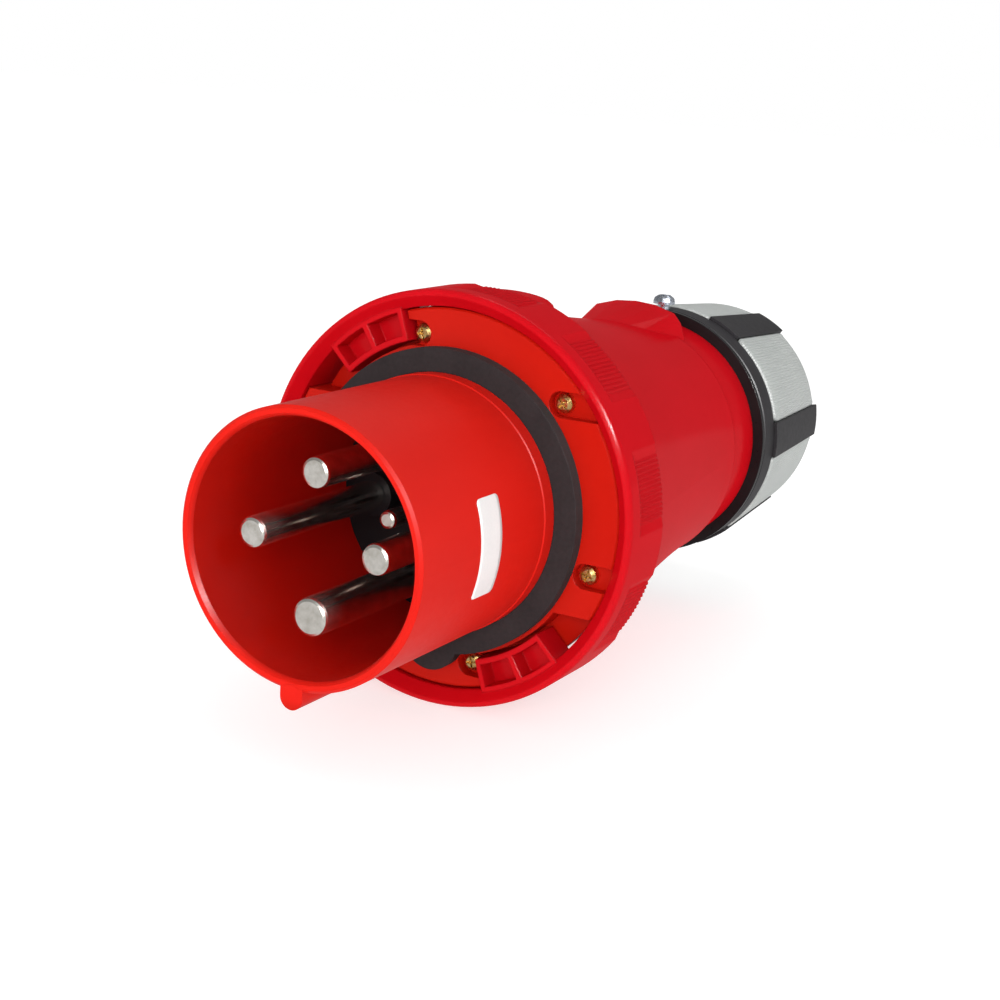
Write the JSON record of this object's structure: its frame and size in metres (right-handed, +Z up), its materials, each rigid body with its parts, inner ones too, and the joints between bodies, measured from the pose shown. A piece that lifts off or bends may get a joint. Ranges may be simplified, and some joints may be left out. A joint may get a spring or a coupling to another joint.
{
  "type": "industrial pin and sleeve plug",
  "caption": "Straight industrial pin and sleeve plug for three phases and earth, with pilot contact, bayonet locking ring and clamping cable gland.",
  "frame": {"origin": "centre of the contact sleeve's mouth, on the plug's axis", "axes": "+Y along the plug's axis from the mouth toward the cable, +Z up, with the keyway rib at the bottom"},
  "size_m": [0.1156, 0.261, 0.1156],
  "materials": {
    "sleeve": "satin orange-red moulded polyamide",
    "handle": "semi-gloss crimson moulded polyamide",
    "seal": "matt charcoal elastomer",
    "carrier": "black moulded thermoset",
    "gland": "satin anthracite plastic",
    "grip": "satin light grey plastic, finely ribbed",
    "contact": "polished nickel plate",
    "brass_screw": "yellow zinc-plated steel",
    "zinc_screw": "blue zinc-plated steel",
    "label": "blank white film"
  },
  "bodies": {
    "plug": {"sleeve_body": "sleeve", "face_gasket": "seal", "handle_housing": "handle", "flange_seal": "seal", "pin_carrier": "carrier", "phase_pin_1": "contact", "phase_pin_2": "contact", "phase_pin_3": "contact", "earth_pin": "contact", "pilot_pin": "contact", "terminal_screws": "zinc_screw", "carrier_screw_1": "zinc_screw", "carrier_screw_2": "zinc_screw", "carrier_screw_3": "zinc_screw", "flange_screw_1": "brass_screw", "flange_screw_2": "brass_screw", "flange_screw_3": "brass_screw", "flange_screw_4": "brass_screw", "flange_screw_5": "brass_screw", "flange_screw_6": "brass_screw", "cable_seal": "seal", "blank_label": "label", "neck_ring": "carrier"},
    "ring": {"bayonet_ring": "handle"},
    "clamp": {"thrust_washer": "zinc_screw", "clamp_basket": "carrier"},
    "nut": {"gland_nut": "gland", "grip_insert_1": "grip", "grip_insert_2": "grip", "grip_insert_3": "grip", "grip_insert_4": "grip", "grip_insert_5": "grip", "grip_insert_6": "grip", "lock_screw": "zinc_screw"}
  },
  "joints": [
    {"name": "ring_turn", "type": "hinge", "parent": "plug", "child": "ring", "pos_m": [0, 0.076, 0], "axis": [0, -1, 0], "range_deg": [0, 9]},
    {"name": "nut_travel", "type": "slide", "parent": "plug", "child": "clamp", "axis": [0, 1, 0], "range_m": [0, 0.004]},
    {"name": "nut_turn", "type": "hinge", "parent": "clamp", "child": "nut", "pos_m": [0, 0.225, 0], "axis": [0, 1, 0], "range_deg": [0, 360]}
  ],
  "couplings": [
    {"joint": "nut_travel", "follows": "nut_turn", "m_per_rad": 0.00063662}
  ]
}
